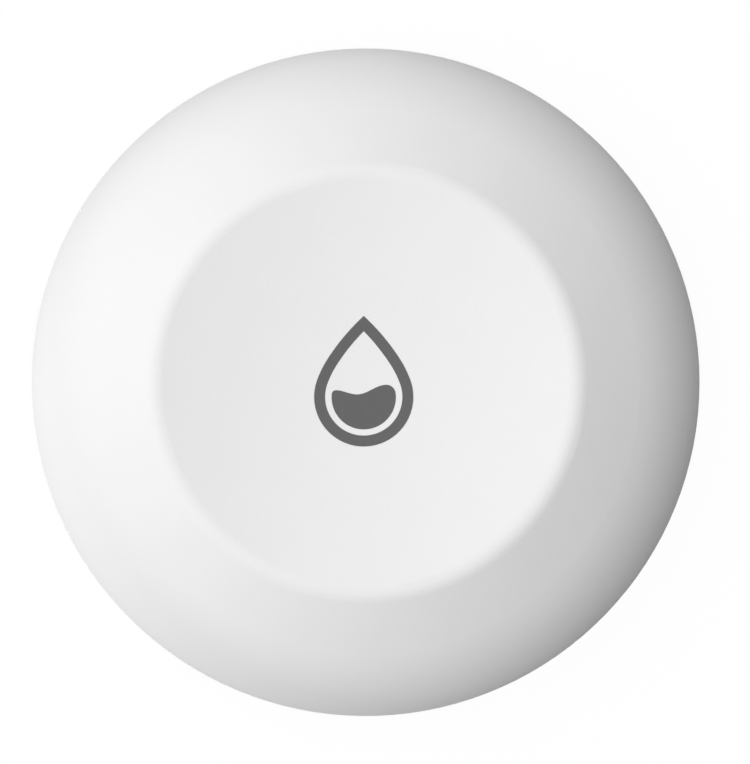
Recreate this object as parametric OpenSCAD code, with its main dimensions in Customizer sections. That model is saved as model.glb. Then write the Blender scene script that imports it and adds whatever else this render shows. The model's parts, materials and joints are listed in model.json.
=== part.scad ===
// Round water leak sensor that lies on the floor. A one-piece domed shell with a dished top holds
// the circuit board, the coin cell and a press switch. A twist-lock base closes it from below and
// carries two metal probes that reach the floor. Sizes are in millimetres, the floor is z = 0, the
// body's axis is Z, and +Y is the upper side of the dish as it is looked down on.

/* [Shell] */
// Largest diameter of the body
body_d = 50; // [46:0.5:60]
// Height from the floor to the crest of the rim
body_h = 15; // [14.5:0.5:20]
// Height of the widest line above the floor
equator_h = 2.3; // [1.8:0.1:3.5]
// Radius of the rounded shoulder above the widest line
shoulder_r = 12; // [9:0.5:13]
// Radius of the nearly straight flank between the shoulder and the rim
flank_r = 68; // [45:1:110]
// How far the shoulder's largest possible radius is cut back, so that a flank remains
flank_room = 0.1; // [0.05:0.05:0.5]
// Radius of the curve that runs in under the widest line
belly_r = 2.4; // [1.8:0.1:3]
// Thickness of the shell's side wall
wall = 1.6; // [1.2:0.1:2]
// Thickness of the shell around the base, measured at the widest line
lip_w = 2.5; // [2.2:0.1:3.5]

/* [Dish] */
// Diameter of the rim's crest around the dish
rim_d = 31.2; // [26:0.2:35]
// Radius of the rounded rim
rim_r = 1.6; // [0.8:0.1:2.2]
// Depth of the dish below the crest
dish_depth = 1.7; // [1:0.1:2.2]
// Thickness of the shell under the dish
dish_t = 1.4; // [1.1:0.1:1.7]
// Thickness of the thinned ring that lets the dish flex
web_t = 0.9; // [0.7:0.05:1]
// Outer diameter of the thinned ring
web_d = 22; // [16:0.5:25]
// Diameter of the post under the dish that works the switch
post_d = 3; // [2.4:0.1:4]
// Width of full thickness kept around the post
post_root = 1; // [0.5:0.1:2]

/* [Base] */
// How far the probes and feet stand proud of the base
foot_h = 0.8; // [0.5:0.1:1.2]
// Thickness of the base plate
base_t = 1.6; // [1.4:0.1:2.2]
// Gap between the base and the shell, seen from below
seam = 0.15; // [0.1:0.05:0.3]
// Chamfer around the base plate's lower edge
base_chamfer = 0.3; // [0.1:0.05:0.5]
// Thickness of the skirt that stands up from the base plate
skirt_t = 1.4; // [1.1:0.1:1.8]
// Diameter of a moulded foot
foot_d = 4; // [3:0.2:6]
// Rounding of a foot's lower edge
foot_round = 0.4; // [0.2:0.1:0.5]
// Length of the coin slot
slot_l = 15; // [10:0.5:18]
// Width of the coin slot
slot_w = 2; // [1.6:0.1:2.6]
// Depth of the coin slot
slot_depth = 0.8; // [0.5:0.1:1]
// Diameter of the dimples that mark the locked and released positions
mark_d = 1; // [0.6:0.1:1.4]
// Depth of those dimples
mark_depth = 0.25; // [0.1:0.05:0.4]

/* [Twist lock] */
// Number of lugs on the base
lug_count = 3; // [2:1:4]
// Angle that one lug spans
lug_span = 24; // [16:1:28]
// Angle that the base turns from locked to released
turn = 40; // [34:1:45]
// Angle left free between a lug and its stop
stop_play = 1; // [0.5:0.5:2]
// How far a lug reaches out from the skirt
lug_reach = 1; // [0.7:0.1:1.2]
// Height of a lug
lug_t = 1.1; // [0.9:0.1:1.4]
// Height of the shell's ledge that the lugs hold on to
ledge_t = 1; // [0.8:0.1:1.3]
// How far that ledge reaches in from the bore around the base
ledge_reach = 1.25; // [1.1:0.05:1.6]
// Clearance around the turning base
turn_gap = 0.12; // [0.08:0.02:0.2]

/* [Seal] */
// Diameter of the O-ring's section before it is squeezed
oring_d = 1.5; // [1.2:0.1:1.8]
// How much the groove squeezes the O-ring, in percent
oring_squeeze = 14; // [8:1:20]
// Clearance of the squeezed O-ring to the bore
oring_gap = 0.03; // [0.02:0.01:0.06]
// Spare width of the groove beside the O-ring
groove_spare = 0.2; // [0.1:0.05:0.4]
// Height of the base's lip under the groove
groove_lip = 0.7; // [0.5:0.1:1]
// Height of the base's land over the groove
groove_land = 0.5; // [0.4:0.1:0.8]

/* [Probes] */
// Diameter of a probe's head
probe_head_d = 5; // [4:0.2:5.6]
// Height of a probe's head
probe_head_h = 1.3; // [1.2:0.1:1.6]
// Rounding of a probe's head
probe_round = 0.6; // [0.3:0.1:0.8]
// Diameter of a probe's shank
probe_d = 2; // [1.6:0.1:2.4]
// Diameter of the probe seal's section before it is squeezed
probe_seal_d = 0.8; // [0.6:0.05:0.9]
// Height of the squeezed probe seal
probe_seal_h = 0.6; // [0.5:0.05:0.7]
// Clearance of the boss around a probe to the battery holder and to the base's skirt
boss_gap = 0.9; // [0.5:0.1:1.2]
// Height of that boss
probe_boss_h = 0.8; // [0.6:0.1:1.2]
// Thickness of a probe's washer
washer_t = 0.3; // [0.2:0.05:0.4]
// Diameter of a probe's washer
washer_d = 4.6; // [4.2:0.1:5.4]
// Width of a probe's nut across its flats
nut_w = 4; // [3.6:0.1:4.2]
// Height of a probe's nut
nut_h = 1.2; // [1:0.1:1.4]
// Diameter of the flat face on top of a probe's nut
nut_face_d = 3.8; // [3.2:0.1:4]
// Slope at which the nut's upper corners are turned off
nut_slope = 30; // [15:5:45]
// How far a probe's end stands out of its nut
probe_end = 0.2; // [0.1:0.05:0.4]
// Clearance around a probe in the base
probe_gap = 0.1; // [0.05:0.05:0.2]
// Width of a probe's spring
spring_w = 2; // [1.4:0.1:2.6]
// Length of the straight part of a probe's spring
spring_l = 4; // [3:0.2:5]

/* [Coin cell] */
// Diameter of the coin cell
cell_d = 20; // [16:0.5:23]
// Height of the coin cell
cell_h = 3.2; // [2.5:0.1:3.6]
// Height of the cell's cap above its can
cap_step = 0.2; // [0.1:0.05:0.3]
// Width of the can's edge around the cap and its seal
can_edge = 0.9; // [0.7:0.1:1.3]
// Width of the seal ring around the cap
cell_seal_w = 0.35; // [0.25:0.05:0.5]
// Thickness of the can's floor
can_t = 0.3; // [0.2:0.05:0.4]
// Rounding of the can's lower edge
can_round = 0.6; // [0.3:0.1:0.8]

/* [Battery holder] */
// Wall of the battery holder
holder_wall = 1.2; // [0.9:0.1:1.5]
// Clearance around the coin cell
cell_gap = 0.2; // [0.1:0.05:0.3]
// Clearance between the holder and the base plate
holder_gap = 0.2; // [0.15:0.05:0.4]
// Thickness of the lips that hold the cell in
holder_lip_t = 0.5; // [0.4:0.1:0.8]
// How far those lips reach over the cell
holder_lip = 0.7; // [0.4:0.1:1]
// Angle that one lip spans
holder_lip_span = 50; // [30:5:70]
// Thickness of the holder's floor on the board
holder_floor = 0.4; // [0.3:0.1:0.6]
// Room between the cell's cap and the holder's floor
contact_h = 0.5; // [0.4:0.05:0.7]
// Width of the finger notch and the clip notch
holder_notch = 6; // [5:0.5:8]
// Diameter of the hole in the holder's floor
holder_hole = 8; // [6.8:0.2:10]
// Thickness of the spring strip of the contacts
strip_t = 0.2; // [0.15:0.05:0.3]
// Clearance of a contact to what it presses on
touch_gap = 0.03; // [0.02:0.01:0.06]
// Width of the positive clip
clip_w = 5; // [4:0.2:5.4]
// Radius of the positive clip's bulge
clip_r = 1.2; // [0.8:0.1:1.3]
// How far that bulge stands in from the clip's leg
clip_bulge = 0.4; // [0.3:0.05:0.5]
// Length of the positive clip's foot on the board
clip_foot = 2; // [1:0.2:2.6]
// Diameter of the negative spring
neg_d = 6.4; // [5:0.2:7]

/* [Board] */
// Thickness of the circuit board
board_t = 1; // [0.8:0.1:1.2]
// Gap between the board's edge and the ledge it passes
board_gap = 1.2; // [0.8:0.1:2]
// Least gap between the base's skirt and the board
skirt_gap = 0.5; // [0.3:0.1:1]
// Distance from the board's edge to its screws
screw_edge = 3.8; // [3:0.1:4.6]
// Number of board screws
screw_count = 3; // [3:1:4]
// Diameter of the posts that the board is screwed to
boss_d = 4.2; // [3.6:0.1:5]
// Core diameter of a board screw
screw_d = 1.7; // [1.4:0.1:2]
// Clearance of a screw in the board
screw_gap = 0.2; // [0.1:0.05:0.3]
// Clearance of a screw in its pilot hole
pilot_gap = 0.02; // [0.01:0.01:0.04]
// Length of a screw in its post
screw_grip = 3; // [2:0.2:3.4]
// Depth left under a screw's tip
screw_tip_room = 0.5; // [0.3:0.1:0.8]
// Diameter of a screw's head
screw_head_d = 3.2; // [2.8:0.1:3.6]
// Height of a screw's head
screw_head_h = 1.1; // [0.9:0.1:1.3]
// Rounding of a screw's head
screw_head_round = 0.5; // [0.3:0.1:0.7]
// Width of the cross recess in a screw's head
cross_w = 0.6; // [0.4:0.05:0.8]
// Length of that recess
cross_l = 1.9; // [1.4:0.1:2.2]
// Depth of that recess
cross_depth = 0.5; // [0.3:0.05:0.7]
// Diameter of the pin that keys the board
pin_d = 1.8; // [1.4:0.1:2.2]
// Clearance around that pin
pin_gap = 0.15; // [0.1:0.05:0.3]

/* [Switch] */
// Side of the square press switch
switch_w = 5.2; // [4.6:0.1:6]
// Height of the switch's body
switch_h = 1.3; // [1.2:0.1:1.6]
// Rounding of the switch's corners
switch_round = 0.4; // [0.2:0.1:0.8]
// Thickness of the switch's metal cover
switch_cover_t = 0.2; // [0.15:0.05:0.3]
// Width of the tabs that fold the cover down over two sides of the switch
cover_tab_w = 2.6; // [1.6:0.1:3.4]
// Length of those tabs
cover_tab_l = 0.8; // [0.5:0.1:1]
// Diameter of the plunger
plunger_d = 2.2; // [1.6:0.1:2.6]
// How far the plunger stands out of the switch
plunger_h = 0.7; // [0.5:0.05:0.9]
// Height of the plunger's flange
flange_t = 0.3; // [0.2:0.05:0.35]
// How far the flange reaches past the plunger
flange_reach = 0.4; // [0.3:0.05:0.5]
// How far the plunger travels
plunger_travel = 0.25; // [0.15:0.05:0.3]
// Clearance around the plunger
plunger_gap = 0.06; // [0.04:0.01:0.1]
// Diameter of the snap dome
dome_d = 3.8; // [3.4:0.1:4]
// Thickness of the snap dome
dome_t = 0.1; // [0.08:0.02:0.14]
// Height that the snap dome keeps when it is pressed
dome_rest = 0.3; // [0.2:0.05:0.35]
// Width of a switch terminal
terminal_w = 0.8; // [0.6:0.1:1.2]
// Distance between the two terminals on one side
terminal_pitch = 2.8; // [2.2:0.1:3.2]
// How far a terminal reaches out of the switch
terminal_reach = 0.9; // [0.6:0.1:1.2]
// Height at which a terminal leaves the switch
terminal_h = 0.7; // [0.4:0.05:1]
// Thickness of a terminal
terminal_t = 0.2; // [0.15:0.05:0.25]

/* [Radio] */
// Gap between neighbouring parts on the board
part_gap = 1; // [0.6:0.1:1.5]
// Side of the radio chip
chip_w = 5; // [4:0.5:6]
// Height of the radio chip
chip_h = 0.85; // [0.6:0.05:1]
// Rounding of the radio chip's corners
chip_round = 0.2; // [0.1:0.05:0.4]
// Diameter of the dimple at the chip's first corner
chip_dot_d = 0.5; // [0.3:0.05:0.8]
// Distance of that dimple from the chip's edges
chip_dot_edge = 0.8; // [0.6:0.1:1.2]
// Length of the crystal
crystal_l = 3.2; // [2:0.2:3.6]
// Width of the crystal
crystal_w = 2.5; // [1.6:0.1:2.8]
// Height of the crystal
crystal_h = 0.75; // [0.5:0.05:0.9]
// Rounding of the crystal's corners
crystal_round = 0.3; // [0.1:0.1:0.6]
// Number of chip capacitors
cap_count = 8; // [4:1:10]
// Length of a chip capacitor
cap_l = 1; // [0.8:0.1:1.6]
// Width of a chip capacitor
cap_w = 0.5; // [0.4:0.1:0.8]
// Height of a chip capacitor
cap_h = 0.5; // [0.3:0.05:0.7]
// Gap between neighbouring chip capacitors
cap_gap = 0.5; // [0.3:0.1:0.8]
// Rounding of the corners of the capacitors and the status light
small_round = 0.1; // [0.05:0.05:0.15]
// Length of the status light's body
led_l = 1.6; // [1.2:0.1:2]
// Width of the status light's body
led_w = 0.8; // [0.7:0.1:1.2]
// Height of the status light's body
led_h = 0.4; // [0.3:0.05:0.5]
// Diameter of the status light's clear dome
led_dome_d = 0.7; // [0.5:0.05:0.7]
// Number of legs in the antenna's meander
antenna_legs = 9; // [5:2:11]
// Length of a leg of the antenna's meander
antenna_leg = 3.6; // [2.6:0.2:4]
// Width of the antenna's copper strip
antenna_w = 0.5; // [0.4:0.05:0.6]
// Gap between neighbouring legs
antenna_gap = 0.7; // [0.5:0.05:0.9]
// Thickness of the antenna's copper strip
antenna_t = 0.1; // [0.06:0.02:0.14]

/* [Hidden] */
$fn = 96;
// Facets of the large, gently curved circles in a preview
fine = 720;
// Overlap that lets a cut pass its face
cut = 0.5;
// Angle by which neighbouring round faces overlap where they are tangent
lap = 3;
// Depth of that overlap, too small to see, so that rounding leaves no crack
hair = 0.0002;

// Direction of a vector in a half section, in degrees from outwards
function heading(v) = atan2(v[1], v[0]);
// Point at a distance and direction from a centre
function reach(c, r, a) = c + r * [cos(a), sin(a)];
// Centre at distance ra from a and rb from b, on the side of the axis
function circle_meet(a, ra, b, rb) =
    let (d = norm(b - a), e = (b - a) / d, along = (ra * ra - rb * rb + d * d) / (2 * d))
    a + along * e + sqrt(ra * ra - along * along) * [-e[1], e[0]];

// Outer half section: belly, shoulder, flank, rim and dish, each tangent to the next. The shoulder's
// largest possible circle touches the widest line and the rim, with no flank between them.
body_r = body_d / 2;
belly_c = [body_r - belly_r, min(equator_h, foot_h + belly_r)];
rim_c = [rim_d / 2, body_h - rim_r];
rim_in = body_r - rim_c[0];
rim_up = rim_c[1] - equator_h;
shoulder_limit = (rim_in * rim_in + rim_up * rim_up - rim_r * rim_r) / (2 * (rim_in - rim_r));
shoulder = min(shoulder_r, shoulder_limit - flank_room);
shoulder_c = [body_r - shoulder, equator_h];
flank_c = circle_meet(shoulder_c, flank_r - shoulder, rim_c, flank_r - rim_r);
shoulder_a = heading(shoulder_c - flank_c);
flank_a = heading(rim_c - flank_c);
dish_r = (rim_d * rim_d / 4 + dish_depth * dish_depth) / (2 * dish_depth) - rim_r;
dish_c = [0, body_h - dish_depth + dish_r];
dish_a = heading(dish_c - rim_c);
dish_edge = reach(rim_c, rim_r, dish_a);

// Base, O-ring and twist lock
mouth_r = body_r - lip_w;
plate_r = mouth_r - seam;
gland = oring_d * (1 - oring_squeeze / 100);
groove_r = mouth_r - gland;
groove_z0 = foot_h + groove_lip;
groove_z1 = groove_z0 + oring_d + groove_spare;
land_z1 = groove_z1 + groove_land;
mouth_z1 = land_z1 + turn_gap;
ledge_r = mouth_r - ledge_reach;
ledge_z1 = mouth_z1 + ledge_t;
neck_r = ledge_r - turn_gap;
skirt_r = neck_r - skirt_t;
lug_r = neck_r + lug_reach;
lug_z0 = ledge_z1 + turn_gap;
lug_z1 = lug_z0 + lug_t;
slot_r = lug_r + turn_gap;
room_z0 = lug_z1 + turn_gap;
lock_a = 90;
mark_z = foot_h + mark_depth - mark_d / 2;

// Coin cell, holder and board, stacked up from the base plate
base_z1 = foot_h + base_t;
holder_z0 = base_z1 + holder_gap;
cell_r = cell_d / 2;
cell_z0 = holder_z0 + holder_lip_t;
cell_z1 = cell_z0 + cell_h;
can_z1 = cell_z1 - cap_step;
cap_r = cell_r - can_edge - cell_seal_w;
pocket_r = cell_r + cell_gap;
holder_r = pocket_r + holder_wall;
board_z0 = max(cell_z1 + contact_h + holder_floor, lug_z1 + skirt_gap);
board_z1 = board_z0 + board_t;
board_r = ledge_r - board_gap;
screw_r = board_r - screw_edge;

// Probes, midway between the battery holder and the skirt
probe_r = (holder_r + skirt_r) / 2;
probe_boss_d = skirt_r - holder_r - 2 * boss_gap;
probe_seat_z = probe_head_h + probe_seal_h;
probe_boss_z1 = base_z1 + probe_boss_h;
washer_z1 = probe_boss_z1 + washer_t;
nut_z1 = washer_z1 + nut_h;
probe_z1 = nut_z1 + probe_end;

// Switch
switch_z1 = board_z1 + switch_h;
switch_top = switch_z1 + switch_cover_t;
plunger_z1 = switch_top + plunger_h;
flange_z1 = switch_z1 - plunger_gap;
flange_z0 = flange_z1 - flange_t;
dome_h = dome_rest + plunger_travel;
dome_z0 = flange_z0 - touch_gap - dome_h;
well_d = dome_d + 2 * plunger_gap;

// Radio parts, in a row beside the switch
chip_x = -(switch_w / 2 + terminal_reach + part_gap + chip_w / 2);
crystal_y = chip_w / 2 + part_gap + crystal_w / 2;
cap_y = -(chip_w / 2 + part_gap + cap_l / 2);
cap_pitch = cap_w + cap_gap;
led_y = switch_w / 2 + part_gap + led_w / 2;

// Rectangle of a half section, from its corners
module band(r0, r1, z0, z1) {
    translate([r0, z0]) square([r1 - r0, z1 - z0]);
}

// Part of a round face, seen from its centre between two directions
module pie(c, r, a0, a1) {
    far = 2 * r;
    intersection() {
        translate(c) circle(r);
        polygon([c, reach(c, far, a0), reach(c, far, (a0 + a1) / 2), reach(c, far, a1)]);
    }
}

// Rectangular section swept from one angle to another
module ring_sector(r0, r1, z0, z1, a0, a1) {
    rotate([0, 0, a0]) rotate_extrude(angle = a1 - a0) band(r0, r1, z0, z1);
}

// Copies around the axis
module around(count, first = 0) {
    for (i = [0 : count - 1]) rotate([0, 0, first + i * 360 / count]) children();
}

// Copies at the two probes
module at_probes() {
    for (side = [-1, 1]) translate([side * probe_r, 0, 0]) children();
}

// Copies at the board's screws, clear of the keying pin
module at_screws() {
    around(screw_count, lock_a + 180 / screw_count) translate([screw_r, 0, 0]) children();
}

// Half section of a disc with a rounded lower edge
module rounded_disc_2d(r, round, z0, z1) {
    band(0, r - round, z0, z1);
    band(0, r, z0 + round, z1);
    translate([r - round, z0 + round]) circle(round);
}

// Plate with rounded corners
module rounded_plate(l, w, t, round) {
    linear_extrude(t) {
        square([l - 2 * round, w], center = true);
        square([l, w - 2 * round], center = true);
        for (x = [-1, 1], y = [-1, 1])
            translate([x * (l / 2 - round), y * (w / 2 - round)]) circle(round);
    }
}

// O-ring flattened between two walls of its groove
module squeezed_ring(c, d, r0, r1, z0, z1) {
    rotate_extrude() intersection() {
        translate(c) circle(d = d);
        band(r0, r1, z0, z1);
    }
}

// Half section of the shell's outside
module shell_outside_2d() {
    band(0, belly_c[0], foot_h, equator_h);
    intersection() {
        translate(belly_c) circle(belly_r);
        band(0, body_r, foot_h, belly_c[1]);
    }
    if (equator_h > belly_c[1]) band(0, body_r, belly_c[1], equator_h);
    pie(shoulder_c, shoulder, 0, shoulder_a + lap);
    intersection() {
        translate(flank_c) circle(flank_r - hair, $fn = fine);
        polygon([shoulder_c, reach(flank_c, 2 * flank_r, shoulder_a),
                 reach(flank_c, 2 * flank_r, flank_a), rim_c]);
    }
    difference() {
        union() {
            polygon([[0, equator_h], shoulder_c, rim_c, [rim_c[0], dish_edge[1]], [0, dish_edge[1]]]);
            pie(rim_c, rim_r, flank_a - lap, dish_a + lap);
        }
        translate(dish_c) circle(dish_r + hair, $fn = fine);
    }
}

// Half section of the room inside the shell, with the thinned ring under the dish and room for the
// plunger under the switch post
module shell_room_2d() {
    band(0, post_d / 2, board_z1, plunger_z1 + touch_gap);
    difference() {
        intersection() {
            union() {
                pie(shoulder_c, shoulder - wall, 0, shoulder_a + lap);
                intersection() {
                    translate(flank_c) circle(flank_r - wall - hair, $fn = fine);
                    polygon([[0, equator_h], shoulder_c, reach(flank_c, 2 * flank_r, shoulder_a),
                             [0, 2 * flank_r]]);
                }
            }
            band(0, body_r, room_z0, body_h);
        }
        translate(dish_c) circle(dish_r + dish_t, $fn = fine);
    }
    difference() {
        band(post_d / 2 + post_root, web_d / 2, board_z1, body_h);
        translate(dish_c) circle(dish_r + web_t, $fn = fine);
    }
}

// Half section of everything hollow: room, ledge bore and the mouth for the base
module shell_hollow_2d() {
    shell_room_2d();
    band(0, ledge_r, foot_h, room_z0 + cut);
    band(0, mouth_r, foot_h - cut, mouth_z1);
}

// Posts that hang from the shell's ceiling: switch post, screw posts and the keying pin
module shell_posts() {
    translate([0, 0, plunger_z1 + touch_gap]) cylinder(d = post_d, h = body_h);
    at_screws() translate([0, 0, board_z1]) cylinder(d = boss_d, h = body_h);
    rotate([0, 0, lock_a]) translate([board_r, 0, board_z0]) cylinder(d = pin_d, h = body_h);
}

// Slots of the twist lock: each lug comes in from below and then turns over its ledge
module lug_slots() {
    half = lug_span / 2 + stop_play;
    around(lug_count, lock_a) {
        ring_sector(ledge_r - cut, slot_r, mouth_z1 - cut, room_z0 + cut, -turn - half, half - turn);
        ring_sector(ledge_r - cut, slot_r, ledge_z1, room_z0 + cut, -turn - half, half);
    }
}

// Round dimple in a lower face
module mark_dimple(r, a) {
    rotate([0, 0, a]) translate([r, 0, mark_z]) sphere(d = mark_d);
}

module top_shell() color("whitesmoke") difference() {
    rotate_extrude() shell_outside_2d();
    difference() {
        rotate_extrude() shell_hollow_2d();
        shell_posts();
    }
    lug_slots();
    at_screws() translate([0, 0, board_z1 - cut])
        cylinder(d = screw_d + 2 * pilot_gap, h = screw_grip + screw_tip_room + cut);
    for (a = [lock_a, lock_a - turn]) mark_dimple(mouth_r + mark_d, a);
}

// Half section of the base: plate, lip, groove, land and skirt
module base_2d() {
    difference() {
        union() {
            band(0, plate_r, foot_h, base_z1);
            band(skirt_r, plate_r, foot_h, land_z1);
            band(skirt_r, neck_r, foot_h, lug_z1);
        }
        band(groove_r, mouth_r, groove_z0, groove_z1);
        polygon([[plate_r - base_chamfer, foot_h], [plate_r, foot_h], [plate_r, foot_h + base_chamfer]]);
    }
}

// Slot for a coin, with round ends
module coin_slot() {
    translate([0, 0, foot_h - cut]) linear_extrude(slot_depth + cut) {
        square([slot_l - slot_w, slot_w], center = true);
        for (x = [-1, 1]) translate([x * (slot_l - slot_w) / 2, 0]) circle(d = slot_w);
    }
}

module base_cover() color("white") difference() {
    union() {
        rotate_extrude() base_2d();
        around(lug_count, lock_a)
            ring_sector(neck_r - skirt_t / 2, lug_r, lug_z0, lug_z1, -lug_span / 2, lug_span / 2);
        at_probes() translate([0, 0, base_z1 - base_t / 2])
            cylinder(d = probe_boss_d, h = base_t / 2 + probe_boss_h);
        around(2, lock_a) translate([probe_r, 0, 0])
            rotate_extrude() rounded_disc_2d(foot_d / 2, foot_round, 0, foot_h + base_t / 2);
    }
    coin_slot();
    at_probes() {
        translate([0, 0, foot_h - cut])
            cylinder(d = probe_head_d + 2 * probe_gap, h = probe_seat_z - foot_h + cut);
        cylinder(d = probe_d + 2 * probe_gap, h = probe_boss_z1 + cut);
    }
    mark_dimple(plate_r - mark_d - base_chamfer, lock_a);
}

module base_oring() color("dimgray")
    squeezed_ring([mouth_r - gland / 2, (groove_z0 + groove_z1) / 2], oring_d,
                  groove_r, mouth_r - oring_gap, groove_z0, groove_z1);

// Stud with a domed head that meets the floor
module probe() {
    rotate_extrude() {
        rounded_disc_2d(probe_head_d / 2, probe_round, 0, probe_head_h);
        band(0, probe_d / 2, 0, probe_z1);
    }
}

module probe_left() color("silver") translate([-probe_r, 0, 0]) probe();

module probe_right() color("silver") translate([probe_r, 0, 0]) probe();

module probe_seals() color("dimgray") at_probes()
    squeezed_ring([probe_d / 2 + probe_gap + probe_seal_d / 2, (probe_head_h + probe_seat_z) / 2],
                  probe_seal_d, 0, probe_head_d, probe_head_h, probe_seat_z);

module probe_washers() color("goldenrod") at_probes() translate([0, 0, probe_boss_z1])
    difference() {
        cylinder(d = washer_d, h = washer_t);
        translate([0, 0, -cut]) cylinder(d = probe_d + 2 * probe_gap, h = washer_t + 2 * cut);
    }

// Hexagon nut whose upper corners are turned off
module probe_nut() {
    corner_d = nut_w / cos(30);
    difference() {
        intersection() {
            cylinder(d = corner_d, h = nut_h, $fn = 6);
            cylinder(d1 = nut_face_d + 2 * nut_h / tan(nut_slope), d2 = nut_face_d, h = nut_h);
        }
        translate([0, 0, -cut]) cylinder(d = probe_d + 2 * pilot_gap, h = nut_h + 2 * cut);
    }
}

module probe_nuts() color("silver") at_probes() translate([0, 0, washer_z1]) probe_nut();

module circuit_board() color("seagreen") translate([0, 0, board_z0]) difference() {
    cylinder(r = board_r, h = board_t);
    at_screws() translate([0, 0, -cut]) cylinder(d = screw_d + 2 * screw_gap, h = board_t + 2 * cut);
    rotate([0, 0, lock_a]) translate([board_r, 0, -cut])
        cylinder(d = pin_d + 2 * pin_gap, h = board_t + 2 * cut);
}

// Pan-head screw that holds the board up against its post, with a cross recess
module board_screw() {
    head_z0 = board_z0 - screw_head_h;
    difference() {
        union() {
            translate([0, 0, head_z0])
                rotate_extrude() rounded_disc_2d(screw_head_d / 2, screw_head_round, 0, screw_head_h);
            translate([0, 0, head_z0 + cross_depth])
                cylinder(d = screw_d, h = screw_head_h - cross_depth + board_t + screw_grip);
        }
        for (a = [0, 90]) rotate([0, 0, a]) translate([0, 0, head_z0])
            cube([cross_l, cross_w, 2 * cross_depth], center = true);
    }
}

module board_screws() color("gray") at_screws() board_screw();

// Copper meander at the board's edge, legs joined in turn at their outer and inner ends
module antenna_trace() color("peru") {
    pitch = antenna_w + antenna_gap;
    half = (pitch * (antenna_legs - 1) + antenna_w) / 2;
    outer = sqrt(pow(board_r - antenna_w, 2) - half * half);
    rotate([0, 0, -lock_a / 2]) translate([outer - antenna_leg, -half, board_z1])
        linear_extrude(antenna_t) {
            for (i = [0 : antenna_legs - 1]) translate([0, i * pitch]) square([antenna_leg, antenna_w]);
            for (i = [0 : antenna_legs - 2])
                translate([i % 2 == 0 ? antenna_leg - antenna_w : 0, i * pitch])
                    square([antenna_w, pitch + antenna_w]);
        }
}

// Flat package on the board's upper side
module package(x, y, l, w, h, round) {
    translate([x, y, board_z1]) rounded_plate(l, w, h, round);
}

module radio_chip() color("black") difference() {
    package(chip_x, 0, chip_w, chip_w, chip_h, chip_round);
    translate([chip_x, 0, board_z1 + chip_h])
        translate([chip_dot_edge - chip_w / 2, chip_w / 2 - chip_dot_edge, 0]) sphere(d = chip_dot_d);
}

module crystal() color("lightgray")
    package(chip_x, crystal_y, crystal_l, crystal_w, crystal_h, crystal_round);

module chip_capacitors() color("tan") for (i = [0 : cap_count - 1])
    package(chip_x + (i - (cap_count - 1) / 2) * cap_pitch, cap_y, cap_w, cap_l, cap_h, small_round);

// Status light: a flat body with a clear dome
module status_led() color("azure") {
    package(0, led_y, led_l, led_w, led_h, small_round);
    translate([0, led_y, board_z1 + led_h]) intersection() {
        sphere(d = led_dome_d);
        translate([-led_w, -led_w, -led_h / 2]) cube(2 * led_w);
    }
}

module switch_body() color("black") translate([0, 0, board_z1]) difference() {
    rounded_plate(switch_w, switch_w, switch_h, switch_round);
    translate([0, 0, dome_z0 - board_z1]) cylinder(d = well_d, h = switch_h);
}

// Metal cover around the plunger, folded down over two sides of the switch
module switch_cover() color("silver") translate([0, 0, switch_z1]) difference() {
    union() {
        rounded_plate(switch_w, switch_w, switch_cover_t, switch_round);
        for (a = [0, 180]) rotate([0, 0, a])
            translate([-cover_tab_w / 2, switch_w / 2, -cover_tab_l])
                cube([cover_tab_w, switch_cover_t, cover_tab_l + switch_cover_t]);
    }
    translate([0, 0, -cut]) cylinder(d = plunger_d + 2 * plunger_gap, h = switch_cover_t + 2 * cut);
}

// Four terminals, two at each end of the switch: each bends down the side and out along the board
module switch_terminals() color("silver") for (a = [0, 180], y = [-1, 1])
    rotate([0, 0, a]) translate([switch_w / 2, (y * terminal_pitch + terminal_w) / 2, board_z1])
        rotate([90, 0, 0]) linear_extrude(terminal_w) {
            band(0, terminal_reach, 0, terminal_t);
            band(0, terminal_t, 0, terminal_h);
        }

// Thin spherical cap, standing on its edge, with its crown up or down
module spring_cap(d, h, t) {
    r = (d * d / 4 + h * h) / (2 * h);
    rotate_extrude() intersection() {
        difference() {
            translate([0, h - r]) circle(r);
            translate([0, h - r]) circle(r - t);
        }
        band(0, d, 0, h);
    }
}

module switch_dome() color("silver") translate([0, 0, dome_z0]) spring_cap(dome_d, dome_h, dome_t);

module switch_plunger() color("ivory") {
    translate([0, 0, flange_z0]) cylinder(d = plunger_d, h = plunger_z1 - flange_z0);
    translate([0, 0, flange_z0]) cylinder(d = plunger_d + 2 * flange_reach, h = flange_t);
}

// Half section of the battery holder: wall, seat for the can's edge and floor
module holder_2d() {
    floor_z0 = board_z0 - holder_floor;
    band(pocket_r, holder_r, holder_z0, board_z0);
    band(cell_r - can_edge, holder_r, can_z1 + touch_gap, board_z0);
    band(holder_hole / 2, holder_r, floor_z0, board_z0);
}

module battery_holder() color("black") {
    difference() {
        rotate_extrude() holder_2d();
        for (side = [-1, 1]) translate([side * holder_r, 0, (holder_z0 + can_z1 - cut) / 2])
            cube([2 * holder_wall + 2 * cell_gap, holder_notch, can_z1 + cut - holder_z0], center = true);
        clip_window();
    }
    around(2, lock_a) ring_sector(cell_r - holder_lip, pocket_r + holder_wall / 2, holder_z0, cell_z0,
                                  -holder_lip_span / 2, holder_lip_span / 2);
}

// Opening in the holder that the positive clip stands in
module clip_window() {
    r0 = cell_r;
    translate([-holder_r - cut, -holder_notch / 2, holder_z0 - cut])
        cube([holder_r + cut - r0, holder_notch, board_z0 - holder_z0 + 2 * cut]);
}

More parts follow.
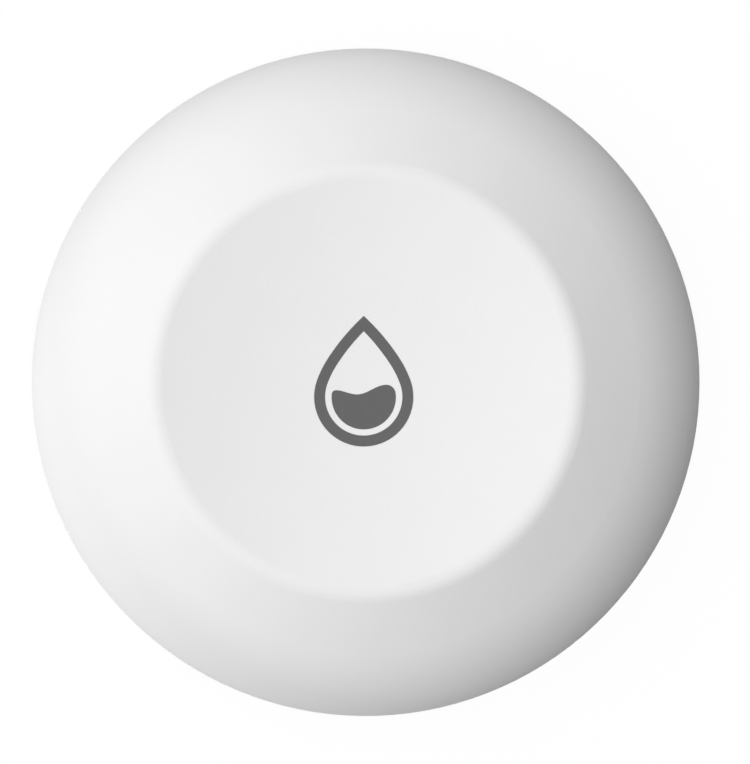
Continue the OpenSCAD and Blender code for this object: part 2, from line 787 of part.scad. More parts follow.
// Spring clip that bulges in against the can's side
module positive_clip() color("silver") {
    leg_r = cell_r + touch_gap + clip_bulge;
    mid_z = (cell_z0 + can_z1) / 2;
    rotate([0, 0, 180]) rotate([90, 0, 0]) translate([0, 0, -clip_w / 2]) linear_extrude(clip_w) {
        difference() {
            band(leg_r, leg_r + strip_t, cell_z0, board_z0);
            translate([cell_r + touch_gap + clip_r, mid_z]) circle(clip_r - strip_t);
        }
        intersection() {
            difference() {
                translate([cell_r + touch_gap + clip_r, mid_z]) circle(clip_r);
                translate([cell_r + touch_gap + clip_r, mid_z]) circle(clip_r - strip_t);
            }
            band(cell_r, leg_r + strip_t, cell_z0, can_z1);
        }
        band(leg_r, leg_r + clip_foot, board_z0 - strip_t, board_z0);
    }
}

// Dome spring that presses on the cell's cap
module negative_spring() color("silver")
    translate([0, 0, board_z0]) mirror([0, 0, 1])
        spring_cap(neg_d, board_z0 - cell_z1 - touch_gap, strip_t);

module cell_can() color("silver") rotate_extrude() difference() {
    rounded_disc_2d(cell_r, can_round, cell_z0, can_z1);
    band(0, cell_r - can_edge, cell_z0 + can_t, cell_z1);
}

module cell_seal() color("darkslategray") rotate_extrude()
    band(cap_r, cell_r - can_edge, cell_z0 + can_t, can_z1);

module cell_cap() color("lightgray") rotate_extrude() band(0, cap_r, cell_z0 + can_t, cell_z1);

// U-shaped spring strip from the board down to a probe's end
module probe_spring() {
    z0 = probe_z1 + touch_gap;
    h = board_z0 - z0;
    bend_y = spring_l / 2;
    rotate([90, 0, 90]) translate([0, 0, -spring_w / 2]) linear_extrude(spring_w) {
        band(-bend_y, bend_y, board_z0 - strip_t, board_z0);
        band(-bend_y, bend_y, z0, z0 + strip_t);
        intersection() {
            difference() {
                translate([bend_y, z0 + h / 2]) circle(h / 2);
                translate([bend_y, z0 + h / 2]) circle(h / 2 - strip_t);
            }
            band(bend_y, bend_y + h, z0, board_z0);
        }
    }
}

module probe_springs() color("gold") at_probes() probe_spring();

top_shell();
circuit_board();
board_screws();
antenna_trace();
radio_chip();
crystal();
chip_capacitors();
status_led();
switch_body();
switch_cover();
switch_terminals();
switch_dome();
switch_plunger();
battery_holder();
positive_clip();
negative_spring();
cell_can();
cell_seal();
cell_cap();
probe_springs();
base_cover();
base_oring();
probe_left();
probe_right();
probe_seals();
probe_washers();
probe_nuts();
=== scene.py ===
"""Looks of a round white water leak sensor, seen from straight above on white.

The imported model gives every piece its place. This script adds the sign printed in the dish, the thread of
the board screws, the switch's snap dome, the finish of every surface, a floor, soft light and the camera.
Lengths are in metres, in the model's own frame.
"""

import functools
import json
import math

import bmesh
import bpy
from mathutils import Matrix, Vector
from mathutils.bvhtree import BVHTree


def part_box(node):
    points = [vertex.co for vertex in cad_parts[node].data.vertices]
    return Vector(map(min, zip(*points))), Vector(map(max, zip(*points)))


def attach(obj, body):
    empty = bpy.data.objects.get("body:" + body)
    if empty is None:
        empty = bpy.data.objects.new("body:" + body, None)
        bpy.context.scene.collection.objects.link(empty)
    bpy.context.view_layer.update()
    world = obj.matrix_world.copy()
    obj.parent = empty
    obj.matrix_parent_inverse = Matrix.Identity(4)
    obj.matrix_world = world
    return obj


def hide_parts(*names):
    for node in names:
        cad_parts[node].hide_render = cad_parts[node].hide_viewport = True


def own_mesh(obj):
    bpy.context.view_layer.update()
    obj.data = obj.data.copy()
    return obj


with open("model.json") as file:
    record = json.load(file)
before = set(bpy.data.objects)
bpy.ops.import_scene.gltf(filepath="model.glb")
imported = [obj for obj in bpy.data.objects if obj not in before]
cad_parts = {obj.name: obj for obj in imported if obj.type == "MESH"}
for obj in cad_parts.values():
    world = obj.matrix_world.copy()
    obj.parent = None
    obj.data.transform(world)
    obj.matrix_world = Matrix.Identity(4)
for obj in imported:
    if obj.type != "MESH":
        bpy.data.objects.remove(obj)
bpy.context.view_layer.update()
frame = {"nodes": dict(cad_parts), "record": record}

MM = 0.001
BODY_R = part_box("top_shell")[1].x
BODY_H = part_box("top_shell")[1].z
BOARD_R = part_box("circuit_board")[1].x
PROBE_X = sum(corner.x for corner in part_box("probe_right")) / 2

# The photograph's frame and the body's circle in it, in pixels
PHOTO_W, PHOTO_H = 750, 764
BODY_PX, BODY_PY, BODY_R_PX = 365.75, 382.25, 333.8
PIXEL = BODY_R / BODY_R_PX

# Height of the camera, which a parallel view doesn't show
CAMERA_Z = 20 * BODY_H

# The printed drop, measured from the body's axis: its round bottom, its shoulders and sides with the angles
# in degrees at which they start, and the width of its line
DROP_X = -0.152 * MM
DROP_ROUND_Y = -1.098 * MM
DROP_ROUND_R = 3.714 * MM
DROP_SHOULDER_R, DROP_SHOULDER_FROM = 7.92 * MM, 20
DROP_SIDE_R, DROP_SIDE_FROM = 16.79 * MM, 33
DROP_LINE = 0.82 * MM

# The water in the drop: its round bottom, its corners with their tops, and the low point of its wave
WATER_Y = -1.125 * MM
WATER_R = 2.406 * MM
WATER_LEFT_R, WATER_LEFT_TOP = 0.3 * MM, -0.6 * MM
WATER_RIGHT_R, WATER_RIGHT_TOP = 0.7 * MM, -0.19 * MM
WAVE_LOW = (-0.655 * MM, -0.91 * MM)

# The ink: how far it stands out of the dish and reaches into it, and the rows and steps of its mesh
INK_PROUD = 0.02 * MM
INK_SUNK = 0.06 * MM
INK_ROWS = 5
SIDE_STEPS, SHOULDER_STEPS, ROUND_STEPS = 24, 8, 48
WAVE_STEPS, CORNER_STEPS, BOTTOM_STEPS = 48, 24, 96

# The board screws: their places around the axis in degrees, the sector that holds each, and their thread
SCREW_ANGLES = (30, 150, 270)
SCREW_SECTOR = 60
THREAD_PITCH = 0.7 * MM
THREAD_H = 0.24 * MM
THREAD_FOOT = 0.38 * MM
THREAD_SUNK = 0.04 * MM
THREAD_STEPS = 32

# The switch's dome: its thickness, and the rings and steps of its mesh
DOME_T = 0.1 * MM
DOME_RINGS, DOME_STEPS = 12, 64

# The circuit board: tinned pads, covered holes through its copper, and copper kept off its rim and antenna
PAD_OUT = 0.3 * MM
CHIP_PAD_PITCH = 0.5 * MM
CAP_W = 0.5 * MM
TERMINAL_W = 0.8 * MM
HOLE_D = 0.35 * MM
HOLE_PITCH = 2.4 * MM
RIM_W = 0.5 * MM
ANTENNA_OUT = 1.5 * MM

# Share of a chip capacitor between its tinned ends
CAP_BARE = 0.55

# Noise patterns: the values that most of a pattern lies between, and the size and depth of each kind
PATTERN_LOW, PATTERN_HIGH = 0.3, 0.7
MARK_DEPTH = 0.002 * MM
MARK_STRETCH = 12
RING_SIZE = 0.2 * MM
RING_TARNISH_SIZE = 1.5 * MM
INK_SPECKLE = 0.12 * MM
WEAVE_SIZE, WEAVE_STRETCH, WEAVE_DEPTH = 0.25 * MM, 4, 0.004 * MM
CERAMIC_GRAIN = 0.08 * MM
RESIN_STREAK = 0.3 * MM

# Patches of tone on a moulding, in grains, and of tarnish on a brushed metal, in marks
TONE_GRAINS, TARNISH_MARKS = 40, 20

# How far roughness varies either way
MOULDED_SPREAD, METAL_SPREAD = 0.05, 0.08

# Soft light: a sky that brightens evenly towards one side, and two weak lamps below, their width in degrees
SKY_TOWARDS = (-0.595, 0.171, 0.785)
SKY_MEAN = 0.5285
SKY_SLOPE = 0.93
LAMP_ANGLE = 10
FILL_FROM, FILL_LIGHT = (0, 0, -1), 0.9
EDGE_FROM, EDGE_LIGHT = (-0.533, -0.308, -0.788), 0.7

# The floor: its size, the gap over it, the share of its white that comes from the sky, how far its painted
# contact shadow reaches, the share of open sky from which it is white again, and the samples for that
FLOOR_SIZE = 3.0
FLOOR_DROP = 0.02 * MM
FLOOR_SHADE = 0.05
CONTACT_REACH = 15 * MM
CONTACT_OPEN = 0.5
CONTACT_SAMPLES = 16


class Tree:
    """Node tree of a material or world, where add() makes a node and fills or links its inputs."""

    def __init__(self, owner):
        owner.use_nodes = True
        self.nodes = owner.node_tree.nodes
        self.links = owner.node_tree.links
        self.nodes.clear()

    def add(self, kind, inputs=None, **settings):
        node = self.nodes.new("ShaderNode" + kind)
        for name, value in settings.items():
            setattr(node, name, value)
        for name, value in (inputs or {}).items():
            if isinstance(value, bpy.types.NodeSocket):
                self.links.new(value, node.inputs[name])
            else:
                node.inputs[name].default_value = value
        return node

    def math(self, operation, *values):
        """Result of one Math node."""
        return self.add("Math", dict(enumerate(values)), operation=operation).outputs[0]

    def length(self, across, along):
        """Length of a vector with these two parts."""
        squares = [self.math("POWER", part, 2.0) for part in (across, along)]
        return self.math("SQRT", self.math("ADD", *squares))

    def either(self, *masks):
        """1 where any of these masks is 1."""
        return functools.reduce(functools.partial(self.math, "MAXIMUM"), masks)

    def cover(self, colours, mask, colour):
        """These colours, with one plain colour where a mask is 1."""
        inputs = {"Factor": mask, "A": colours, "B": (*colour, 1.0)}
        return self.add("Mix", inputs, data_type="RGBA").outputs["Result"]

    def place(self):
        """Position in the model's frame, because every object sits at its origin."""
        return self.add("TexCoord").outputs["Object"]

    def axes(self):
        """X, Y and Z in the model's frame."""
        return self.add("SeparateXYZ", {"Vector": self.place()}).outputs

    def noise(self, size, detail=2.0, stretch=(1, 1, 1)):
        """Even cloudy pattern whose patches are about size across, times stretch along each axis."""
        scale = [1 / factor for factor in stretch]
        where = self.add("Mapping", {"Vector": self.place(), "Scale": scale}).outputs[0]
        inputs = {"Vector": where, "Scale": 1 / size, "Detail": detail}
        return self.add("TexNoise", inputs).outputs[0]

    def rings(self, size, centre_x=0.0):
        """Fine rings of a lathe, around the Z axis or around the axes at plus and minus centre_x."""
        x, y, _ = self.axes()
        out = self.math("SUBTRACT", self.math("ABSOLUTE", x), centre_x)
        inputs = {"W": self.length(out, y), "Scale": 1 / size, "Detail": 1.0}
        return self.add("TexNoise", inputs, noise_dimensions="1D").outputs[0]

    def between(self, pattern, low, high):
        """A number that runs from low to high with a pattern."""
        inputs = {"From Min": PATTERN_LOW, "From Max": PATTERN_HIGH, "To Min": low, "To Max": high}
        return self.add("MapRange", {"Value": pattern, **inputs}).outputs[0]

    def shades(self, pattern, first, second):
        """A colour that runs from first to second with a pattern."""
        ramp = self.add("ValToRGB", {"Fac": pattern})
        places = (PATTERN_LOW, PATTERN_HIGH)
        for stop, place, colour in zip(ramp.color_ramp.elements, places, (first, second)):
            stop.position = place
            stop.color = (*colour, 1.0)
        return ramp.outputs[0]

    def bump(self, pattern, depth):
        """Direction of a surface that a pattern raises by up to depth."""
        return self.add("Bump", {"Height": pattern, "Distance": depth}).outputs[0]

    def surface(self, **inputs):
        """Principled surface as the tree's output. Names are the shader's own, with _ for a space."""
        named = {name.replace("_", " "): value for name, value in inputs.items()}
        shader = self.add("BsdfPrincipled", named)
        self.add("OutputMaterial", {"Surface": shader.outputs[0]})


def new_material(name):
    """Empty material, and its tree."""
    material = bpy.data.materials.new(name)
    return material, Tree(material)


def moulded(tree, colour, shade, roughness, grain, depth, specular=0.5):
    """Moulded plastic or rubber: an even fine grain, and tone that darkens in faint clouds by shade."""
    skin = tree.noise(grain, detail=3.0)
    dark = [part * (1 - shade) for part in colour]
    tree.surface(
        Base_Color=tree.shades(tree.noise(TONE_GRAINS * grain), colour, dark),
        Roughness=tree.between(skin, roughness - MOULDED_SPREAD, roughness + MOULDED_SPREAD),
        Specular_IOR_Level=specular,
        Normal=tree.bump(skin, depth),
    )


def metal(tree, colour, tarnish, roughness, clouds, marks):
    """Bare metal with the marks of a tool, and tarnish in clouds."""
    tree.surface(
        Base_Color=tree.shades(clouds, colour, tarnish),
        Metallic=1.0,
        Roughness=tree.between(marks, roughness - METAL_SPREAD, roughness + METAL_SPREAD),
        Normal=tree.bump(marks, MARK_DEPTH),
    )


def brushed(tree, colour, tarnish, roughness, size, stretch):
    """Strip or plated metal with fine marks along one axis."""
    marks = tree.noise(size, detail=4.0, stretch=stretch)
    metal(tree, colour, tarnish, roughness, tree.noise(TARNISH_MARKS * size), marks)


def turned(tree, colour, tarnish, roughness, centre_x=0.0):
    """Metal turned on a lathe, with rings around its own axis."""
    marks = tree.rings(RING_SIZE, centre_x)
    metal(tree, colour, tarnish, roughness, tree.noise(RING_TARNISH_SIZE), marks)


def printed(tree, colour, speckle):
    """Screen-printed ink: matte, with the faint speckle of its pigment."""
    pigment = tree.noise(INK_SPECKLE, detail=3.0)
    tree.surface(
        Base_Color=tree.shades(pigment, colour, speckle),
        Roughness=tree.between(pigment, 0.6, 0.75),
        Specular_IOR_Level=0.2,
        Normal=tree.bump(pigment, MARK_DEPTH),
    )


def laminate(tree, mask, mask_thread, bare, tin):
    """Green solder mask with tinned pads, darker where no copper lies under it: rim, antenna and holes."""
    x, y, _ = tree.axes()

    def under(node, out_x, out_y):
        """1 under a node's box, made larger by out_x and out_y at each side."""
        low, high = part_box(node)
        across = tree.math("COMPARE", x, (low.x + high.x) / 2, (high.x - low.x) / 2 + out_x)
        along = tree.math("COMPARE", y, (low.y + high.y) / 2, (high.y - low.y) / 2 + out_y)
        return tree.math("MULTIPLY", across, along)

    def step(value, pitch, start=0.0):
        """Place within an even step of a row, from 0 to 1."""
        return tree.math("FRACT", tree.math("DIVIDE", tree.math("SUBTRACT", value, start), pitch))

    def row(area, value, pitch, start=0.0):
        """Pads in an area, each half a step wide."""
        return tree.math("MULTIPLY", area, tree.math("LESS_THAN", step(value, pitch, start), 0.5))

    caps_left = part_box("chip_capacitors")[0].x
    terminal_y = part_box("switch_terminals")[1].y - TERMINAL_W / 2
    terminals = tree.math("COMPARE", tree.math("ABSOLUTE", y), terminal_y, TERMINAL_W / 2 + PAD_OUT / 2)
    pads = tree.either(
        row(under("radio_chip", PAD_OUT, 0), y, CHIP_PAD_PITCH),
        row(under("radio_chip", 0, PAD_OUT), x, CHIP_PAD_PITCH),
        row(under("chip_capacitors", 0, PAD_OUT), x, 2 * CAP_W, caps_left),
        under("crystal", PAD_OUT, 0),
        under("status_led", PAD_OUT, 0),
        tree.math("MULTIPLY", under("switch_terminals", PAD_OUT, PAD_OUT), terminals),
    )
    trace = frame["nodes"]["antenna_trace"].data.vertices
    antenna_from = min(point.co.x - point.co.y for point in trace) - ANTENNA_OUT
    antenna = tree.math("GREATER_THAN", tree.math("SUBTRACT", x, y), antenna_from)
    rim = tree.math("GREATER_THAN", tree.length(x, y), BOARD_R - RIM_W)
    off = [tree.math("SUBTRACT", step(value, HOLE_PITCH), 0.5) for value in (x, y)]
    hole = tree.math("LESS_THAN", tree.length(*off), HOLE_D / HOLE_PITCH / 2)
    weave = tree.noise(WEAVE_SIZE, stretch=(WEAVE_STRETCH, 1, 1))
    green = tree.cover(tree.shades(weave, mask, mask_thread), tree.either(rim, antenna, hole), bare)
    tree.surface(
        Base_Color=tree.cover(green, pads, tin),
        Metallic=pads,
        Roughness=tree.between(weave, 0.25, 0.4),
        Normal=tree.bump(weave, WEAVE_DEPTH),
    )


def tinned_ceramic(tree, colour, speckle, tin):
    """Tan ceramic chips with a tinned cap at each end."""
    low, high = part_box("chip_capacitors")
    _, y, _ = tree.axes()
    out = tree.math("ABSOLUTE", tree.math("SUBTRACT", y, (low.y + high.y) / 2))
    caps = tree.math("GREATER_THAN", out, CAP_BARE * (high.y - low.y) / 2)
    grain = tree.noise(CERAMIC_GRAIN)
    tree.surface(
        Base_Color=tree.cover(tree.shades(grain, colour, speckle), caps, tin),
        Metallic=caps,
        Roughness=tree.between(grain, 0.35, 0.5),
    )


def clear_resin(tree, colour, streak):
    """Milky cast resin with a few faint streaks."""
    streaks = tree.noise(RESIN_STREAK)
    tree.surface(
        Base_Color=tree.shades(streaks, colour, streak),
        Roughness=tree.between(streaks, 0.1, 0.2),
        Transmission_Weight=0.3,
        IOR=1.5,
    )


def make_materials():
    """One finish for each material slot of the record."""
    materials = {}
    along_x, along_z = (MARK_STRETCH, 1, 1), (1, 1, MARK_STRETCH)

    def finish(slot, kind, **values):
        """Makes the material of a slot with one kind of finish."""
        materials[slot], tree = new_material(slot)
        kind(tree, **values)

    finish("shell_plastic", moulded, colour=(0.83, 0.83, 0.83), shade=0.008, roughness=0.75,
           grain=0.09 * MM, depth=0.015 * MM, specular=0.1)
    finish("base_plastic", moulded, colour=(0.8, 0.8, 0.8), shade=0.02, roughness=0.6,
           grain=0.18 * MM, depth=0.04 * MM, specular=0.35)
    finish("sign_print", printed, colour=(0.132, 0.132, 0.132), speckle=(0.122, 0.122, 0.122))
    finish("seal_rubber", moulded, colour=(0.05, 0.05, 0.052), shade=0.2, roughness=0.7,
           grain=0.1 * MM, depth=0.006 * MM)
    finish("probe_steel", turned, colour=(0.46, 0.455, 0.445), tarnish=(0.4, 0.395, 0.385), roughness=0.28,
           centre_x=PROBE_X)
    finish("fastener_steel", brushed, colour=(0.5, 0.5, 0.49), tarnish=(0.44, 0.44, 0.45), roughness=0.35,
           size=0.1 * MM, stretch=along_z)
    finish("contact_brass", brushed, colour=(0.76, 0.56, 0.24), tarnish=(0.66, 0.46, 0.18), roughness=0.25,
           size=0.08 * MM, stretch=along_x)
    finish("contact_steel", brushed, colour=(0.62, 0.61, 0.59), tarnish=(0.55, 0.54, 0.52), roughness=0.3,
           size=0.08 * MM, stretch=along_x)
    finish("cell_steel", turned, colour=(0.6, 0.6, 0.58), tarnish=(0.54, 0.54, 0.53), roughness=0.3)
    finish("cell_gasket", moulded, colour=(0.06, 0.06, 0.065), shade=0.2, roughness=0.6,
           grain=0.1 * MM, depth=0.005 * MM)
    finish("holder_plastic", moulded, colour=(0.03, 0.03, 0.032), shade=0.2, roughness=0.55,
           grain=0.15 * MM, depth=0.01 * MM)
    finish("board_laminate", laminate, mask=(0.012, 0.125, 0.055), mask_thread=(0.010, 0.115, 0.05),
           bare=(0.006, 0.075, 0.034), tin=(0.7, 0.7, 0.68))
    finish("copper_trace", brushed, colour=(0.8, 0.46, 0.22), tarnish=(0.7, 0.38, 0.17), roughness=0.3,
           size=0.1 * MM, stretch=along_x)
    finish("chip_epoxy", moulded, colour=(0.022, 0.022, 0.024), shade=0.25, roughness=0.5,
           grain=0.06 * MM, depth=0.005 * MM)
    finish("crystal_lid", brushed, colour=(0.66, 0.65, 0.62), tarnish=(0.6, 0.58, 0.54), roughness=0.25,
           size=0.06 * MM, stretch=along_x)
    finish("capacitor_ceramic", tinned_ceramic, colour=(0.42, 0.29, 0.17), speckle=(0.36, 0.24, 0.14),
           tin=(0.72, 0.72, 0.7))
    finish("led_clear", clear_resin, colour=(0.88, 0.86, 0.78), streak=(0.82, 0.8, 0.7))
    finish("switch_plastic", moulded, colour=(0.026, 0.026, 0.028), shade=0.2, roughness=0.5,
           grain=0.08 * MM, depth=0.006 * MM)
    finish("plunger_plastic", moulded, colour=(0.78, 0.74, 0.62), shade=0.05, roughness=0.45,
           grain=0.08 * MM, depth=0.004 * MM)
    return materials


def dish_height():
    """Height of the dish as a function of x and y, from the sphere that the shell's own surface follows."""
    shell = frame["nodes"]["top_shell"].data
    faces = [face.vertices for face in shell.polygons]
    tree = BVHTree.FromPolygons([point.co for point in shell.vertices], faces)
    reach = 10 * MM

    def top(x):
        """Height of the shell's top at a distance along X."""
        return tree.ray_cast(Vector((x, 0, 2 * BODY_H)), Vector((0, 0, -1)))[0].z

    low = top(0)
    rise = top(reach) - low
    radius = (reach**2 + rise**2) / (2 * rise)
    return lambda x, y: low + radius - math.sqrt(radius**2 - x**2 - y**2)


def towards(angle):
    """Direction in plan at an angle from X, in radians."""
    return Vector((math.cos(angle), math.sin(angle)))


def arc(centre, radius, start, stop, steps):
    """Points along an arc, without its last one. Angles are in radians."""
    angles = [start + (stop - start) * i / steps for i in range(steps)]
    return [(centre[0] + radius * math.cos(a), centre[1] + radius * math.sin(a)) for a in angles]


def drop_outline(inset):
    """Outline of a drop that lies inset within the sign's outer edge, clockwise from its tip.

    Each half runs down from the tip: a long side, a shoulder and a round bottom, each tangent to the next.
    """
    shoulder, side = math.radians(DROP_SHOULDER_FROM), math.radians(DROP_SIDE_FROM)
    round_c = Vector((0, DROP_ROUND_Y))
    shoulder_c = round_c - (DROP_SHOULDER_R - DROP_ROUND_R) * towards(shoulder)
    side_c = shoulder_c - (DROP_SIDE_R - DROP_SHOULDER_R) * towards(side)
    tip = math.acos(-side_c.x / (DROP_SIDE_R - inset))
    right = arc(side_c, DROP_SIDE_R - inset, tip, side, SIDE_STEPS)
    right += arc(shoulder_c, DROP_SHOULDER_R - inset, side, shoulder, SHOULDER_STEPS)
    right += arc(round_c, DROP_ROUND_R - inset, shoulder, -math.pi / 2, ROUND_STEPS)
    bottom = (0, DROP_ROUND_Y - DROP_ROUND_R + inset)
    left = [(-x, y) for x, y in reversed(right[1:])]
    return [(DROP_X + x, y) for x, y in right + [bottom] + left]


def water_outline():
    """Outline of the water in the drop, clockwise: a wave, two round corners and a round bottom."""

    def corner(side, radius, top):
        """Centre of a corner that touches the round bottom and reaches up to top, and its angle there."""
        rise = top - radius - WATER_Y
        run = side * math.sqrt((WATER_R - radius) ** 2 - rise**2)
        return (DROP_X + run, WATER_Y + rise), math.atan2(rise, run)

    def wave(start, stop):
        """Points along an even swell from one level point to another, without its last one."""
        points = []
        for i in range(WAVE_STEPS):
            share = i / WAVE_STEPS
            swell = (1 - math.cos(math.pi * share)) / 2
            x = start[0] + (stop[0] - start[0]) * share
            y = start[1] + (stop[1] - start[1]) * swell
            points.append((x, y))
        return points

    left_c, left_a = corner(-1, WATER_LEFT_R, WATER_LEFT_TOP)
    right_c, right_a = corner(1, WATER_RIGHT_R, WATER_RIGHT_TOP)
    up = math.pi / 2
    points = wave((left_c[0], WATER_LEFT_TOP), WAVE_LOW)
    points += wave(WAVE_LOW, (right_c[0], WATER_RIGHT_TOP))
    points += arc(right_c, WATER_RIGHT_R, up, right_a, CORNER_STEPS)
    points += arc((DROP_X, WATER_Y), WATER_R, right_a, left_a - 2 * math.pi, BOTTOM_STEPS)
    points += arc(left_c, WATER_LEFT_R, left_a, up, CORNER_STEPS)
    return points


def finished(name, mesh):
    """Object made of a bmesh, with its faces turned outwards and shaded smooth."""
    bmesh.ops.recalc_face_normals(mesh, faces=mesh.faces)
    for face in mesh.faces:
        face.smooth = True
    data = bpy.data.meshes.new(name)
    mesh.to_mesh(data)
    mesh.free()
    piece = bpy.data.objects.new(name, data)
    bpy.context.scene.collection.objects.link(piece)
    return piece


def print_piece(name, loops, height, hub=None):
    """Thin closed print that follows the dish: a band from first to last loop, or filled up to a hub.

    The loops run clockwise, so the top's faces are made in reverse.
    """
    mesh = bmesh.new()

    def layer(offset):
        """Corners of one side of the print, a row for each loop."""
        return [[mesh.verts.new((x, y, height(x, y) + offset)) for x, y in loop] for loop in loops]

    top, under = layer(INK_PROUD), layer(-INK_SUNK)
    count = len(loops[0])
    pairs = [(i, (i + 1) % count) for i in range(count)]
    for rows, order in ((top, -1), (under, 1)):
        for outer, inner in zip(rows, rows[1:]):
            for i, j in pairs:
                mesh.faces.new((outer[i], outer[j], inner[j], inner[i])[::order])
        if hub:
            last = rows[-1]
            middle = mesh.verts.new((*hub, sum(corner.co.z for corner in last) / count))
            for i, j in pairs:
                mesh.faces.new((last[i], last[j], middle)[::order])
    walled = [0] if hub else [0, -1]
    for edge in walled:
        rim = set(top[edge])
        for i, j in pairs:
            wall = mesh.faces.new((top[edge][i], top[edge][j], under[edge][j], under[edge][i]))
            for side in wall.edges:
                side.smooth = not rim.issuperset(side.verts)
    return finished(name, mesh)


def make_sign(material):
    """The drop in the dish: an outline, and the water in it."""
    height = dish_height()
    rims = [drop_outline(DROP_LINE * i / (INK_ROWS - 1)) for i in range(INK_ROWS)]
    water = water_outline()
    # A point in the water with its whole edge in sight
    hub_x, hub_y = DROP_X, WATER_Y - WATER_R / 3
    shares = [1 - i / INK_ROWS for i in range(INK_ROWS)]
    shrunk = [[(hub_x + (x - hub_x) * s, hub_y + (y - hub_y) * s) for x, y in water] for s in shares]
    pieces = [
        print_piece("drop_outline", rims, height),
        print_piece("drop_fill", shrunk, height, (hub_x, hub_y)),
    ]
    for piece in pieces:
        piece.data.materials.append(material)
        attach(piece, "shell")


def wind_ridge(mesh, centre, core, low, high):
    """Adds a ridge that winds up a shank from low to high, and runs out over half a turn at each end."""
    count = round(THREAD_STEPS * (high - low) / THREAD_PITCH)
    half = THREAD_FOOT / 2
    rows = []
    for k in range(count + 1):
        turn = 2 * math.pi * k / THREAD_STEPS
        across, along = math.cos(turn), math.sin(turn)
        share = min(1, 2 * k / THREAD_STEPS, 2 * (count - k) / THREAD_STEPS)
        z = low + (high - low) * k / count
        ridge = ((core - THREAD_SUNK, -half), (core + THREAD_H * share, 0), (core - THREAD_SUNK, half))
        places = [(centre.x + r * across, centre.y + r * along, z + up) for r, up in ridge]
        rows.append([mesh.verts.new(place) for place in places])
    for first, second in zip(rows, rows[1:]):
        for i in range(len(first)):
            mesh.faces.new((first[i], second[i], second[i - 1], first[i - 1]))
        mesh.edges.get((first[1], second[1])).smooth = False
    mesh.faces.new(rows[0])
    mesh.faces.new(rows[-1])


def make_screw_threads(material):
    """Thread of the board screws, from the board to each shank's end, which bites into its post."""
    points = [point.co for point in frame["nodes"]["board_screws"].data.vertices]
    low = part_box("circuit_board")[1].z + THREAD_PITCH / 2
    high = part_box("board_screws")[1].z - THREAD_PITCH / 2
    within = math.radians(SCREW_SECTOR / 2)
    mesh = bmesh.new()
    for angle in SCREW_ANGLES:
        way = towards(math.radians(angle))
        end = [point.xy for point in points if point.z > high and point.xy.angle(way) < within]
        left, right = min(point.x for point in end), max(point.x for point in end)
        front, back = min(point.y for point in end), max(point.y for point in end)
        centre = Vector(((left + right) / 2, (front + back) / 2))
        wind_ridge(mesh, centre, (right - left) / 2, low, high)
    thread = finished("screw_threads", mesh)
    thread.data.materials.append(material)
    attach(thread, "shell")


def make_snap_dome(material):
    """The switch's thin steel dome, which takes the place of the model's own and rides on the shell."""
    low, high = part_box("switch_dome")
    half, rise = high.x, high.z - low.z
    radius = (half**2 + rise**2) / (2 * rise)
    drop = radius - rise
    turns = [2 * math.pi * k / DOME_STEPS for k in range(DOME_STEPS)]
    mesh = bmesh.new()
    sides = []
    for r in (radius, radius - DOME_T):
        edge = math.acos(drop / r)
        rows = []
        for i in range(1, DOME_RINGS + 1):
            tilt = edge * i / DOME_RINGS
            out, z = r * math.sin(tilt), low.z + (r * math.cos(tilt) - drop)
            rows.append([mesh.verts.new((out * math.cos(turn), out * math.sin(turn), z)) for turn in turns])
        crown = mesh.verts.new((0, 0, low.z + r - drop))
        for k in range(DOME_STEPS):
            mesh.faces.new((crown, rows[0][k], rows[0][k - 1]))
        for inner, outer in zip(rows, rows[1:]):
            for k in range(DOME_STEPS):
                mesh.faces.new((inner[k], outer[k], outer[k - 1], inner[k - 1]))
        sides.append(rows[-1])
    for k in range(DOME_STEPS):
        mesh.faces.new((sides[0][k], sides[1][k], sides[1][k - 1], sides[0][k - 1]))
    dome = finished("snap_dome", mesh)
    dome.data.materials.append(material)
    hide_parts("switch_dome")
    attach(dome, "shell")
    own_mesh(dome)


def make_world():
    """Soft sky that brightens evenly towards one side, and is plain white to the camera, metal and glass."""
    world = bpy.data.worlds.new("studio")
    bpy.context.scene.world = world
    tree = Tree(world)
    direction = tree.add("TexCoord").outputs["Generated"]
    dot = tree.add("VectorMath", {0: direction, 1: SKY_TOWARDS}, operation="DOT_PRODUCT").outputs["Value"]
    sky = tree.math("MAXIMUM", tree.math("MULTIPLY_ADD", dot, SKY_SLOPE, SKY_MEAN), 0.0)
    path = tree.add("LightPath").outputs
    seen = tree.either(path["Is Camera Ray"], path["Is Glossy Ray"], path["Is Transmission Ray"])
    strength = tree.add("Mix", {"Factor": seen, "A": sky, "B": 1.0}).outputs["Result"]
    shader = tree.add("Background", {"Color": (1, 1, 1, 1), "Strength": strength})
    tree.add("OutputWorld", {"Surface": shader.outputs[0]})


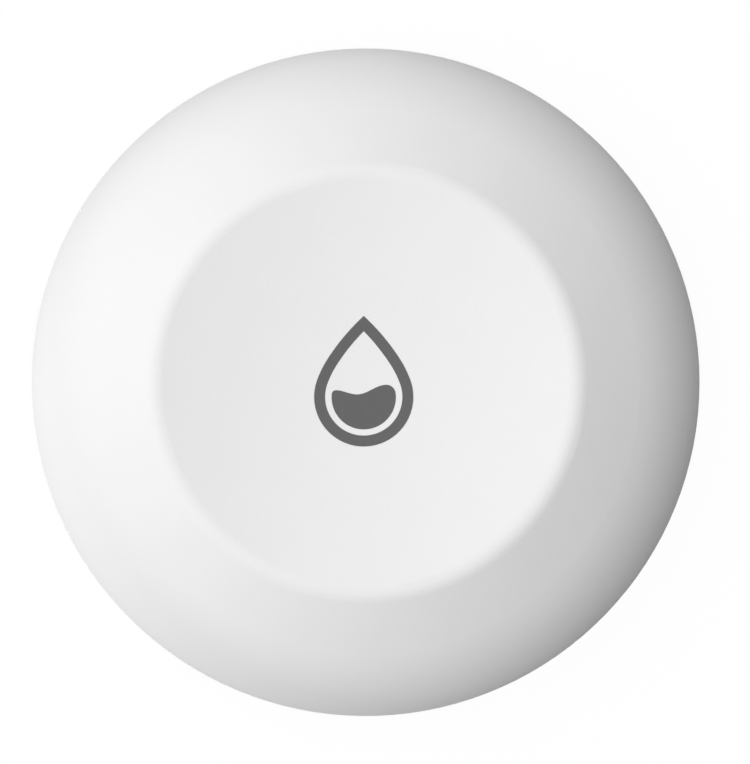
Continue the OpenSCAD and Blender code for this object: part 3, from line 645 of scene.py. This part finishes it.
def make_floor():
    """White floor with a painted contact shadow in its glow, a faint cast shadow, and clear from below."""
    mesh = bmesh.new()
    bmesh.ops.create_grid(mesh, x_segments=4, y_segments=4, size=FLOOR_SIZE / 2)
    data = bpy.data.meshes.new("floor")
    mesh.to_mesh(data)
    mesh.free()
    floor = bpy.data.objects.new("floor", data)
    floor.location.z = -FLOOR_DROP
    bpy.context.scene.collection.objects.link(floor)
    floor.visible_diffuse = False
    floor.visible_shadow = False
    material, tree = new_material("floor_white")
    # Painted contact shadow: the glow dims where the object hides the floor's open sky, down to none
    reach = {"Distance": CONTACT_REACH}
    open_sky = tree.add("AmbientOcclusion", reach, samples=CONTACT_SAMPLES).outputs["AO"]
    shadow = {"Value": open_sky, "From Max": CONTACT_OPEN, "To Max": 1 - FLOOR_SHADE}
    contact = tree.add("MapRange", shadow).outputs[0]
    # Reflections see the floor's glow whole, without the painted shadow
    mirrored = tree.add("LightPath").outputs["Is Glossy Ray"]
    light = tree.add("Emission", {"Strength": tree.math("MAXIMUM", contact, mirrored)})
    shade = tree.add("BsdfDiffuse", {"Color": (FLOOR_SHADE, FLOOR_SHADE, FLOOR_SHADE, 1)})
    front = tree.add("AddShader", {0: light.outputs[0], 1: shade.outputs[0]})
    back = tree.add("BsdfTransparent")
    side = tree.add("NewGeometry").outputs["Backfacing"]
    both = tree.add("MixShader", {0: side, 1: front.outputs[0], 2: back.outputs[0]})
    tree.add("OutputMaterial", {"Surface": both.outputs[0]})
    data.materials.append(material)


def make_lamps():
    """Two soft lamps from below, as from a pale floor, that light the underside and one edge."""
    for name, source, strength in (("fill", FILL_FROM, FILL_LIGHT), ("edge", EDGE_FROM, EDGE_LIGHT)):
        lamp = bpy.data.lights.new(name, "SUN")
        lamp.energy = strength
        lamp.angle = math.radians(LAMP_ANGLE)
        sun = bpy.data.objects.new(name, lamp)
        sun.rotation_euler = Vector(source).to_track_quat("Z", "Y").to_euler()
        bpy.context.scene.collection.objects.link(sun)


def make_camera():
    """Looks straight down, with the body where the photograph has it."""
    camera = bpy.data.objects.new("camera", bpy.data.cameras.new("camera"))
    bpy.context.scene.collection.objects.link(camera)
    bpy.context.scene.camera = camera
    camera.data.type = "ORTHO"
    camera.data.ortho_scale = max(PHOTO_W, PHOTO_H) * PIXEL
    camera.location = ((PHOTO_W / 2 - BODY_PX) * PIXEL, (BODY_PY - PHOTO_H / 2) * PIXEL, CAMERA_Z)


materials = make_materials()
for row in frame["record"]["subparts"]:
    mesh = frame["nodes"][row["node"]].data
    mesh.materials.clear()
    mesh.materials.append(materials[row["material_slot"]])
make_sign(materials["sign_print"])
make_screw_threads(materials["fastener_steel"])
make_snap_dome(materials["contact_steel"])
make_world()
make_floor()
make_lamps()
make_camera()
bpy.context.scene.view_settings.view_transform = "Standard"
